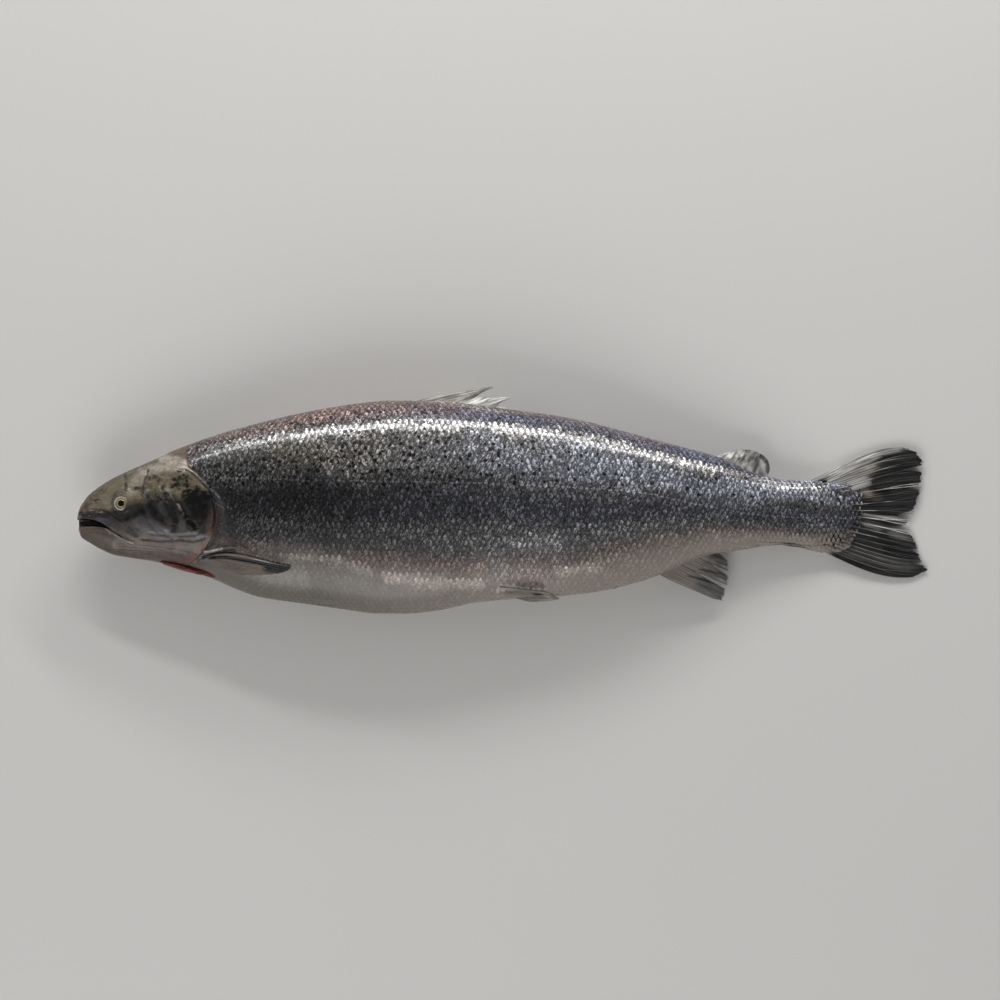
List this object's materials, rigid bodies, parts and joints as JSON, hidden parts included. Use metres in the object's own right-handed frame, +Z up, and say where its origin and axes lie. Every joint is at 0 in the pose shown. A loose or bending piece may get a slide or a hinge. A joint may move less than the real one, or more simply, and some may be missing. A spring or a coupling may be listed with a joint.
{
  "type": "whole atlantic salmon",
  "caption": "Whole raw Atlantic salmon lying on its right side, mouth ajar, with dorsal, adipose, anal, paired and forked tail fins fused to a scaled silvery body.",
  "frame": {"origin": "centre of the bounding box in plan, on the surface that the fish lies on", "axes": "+X from the head to the tail, +Y from the belly to the back, +Z up, out of the left flank that shows"},
  "size_m": [0.7476, 0.2006, 0.0837],
  "materials": {
    "skin": "wet scaled fish skin, dark mottled back, silver-grey flank, pale beige belly",
    "eye": "glossy clear eye with a gold iris and a black pupil",
    "gill_flesh": "moist red gill flesh"
  },
  "bodies": {
    "root": {"salmon": "skin", "eye_left": "eye", "eye_right": "eye", "gill_flesh": "gill_flesh"}
  },
  "joints": []
}
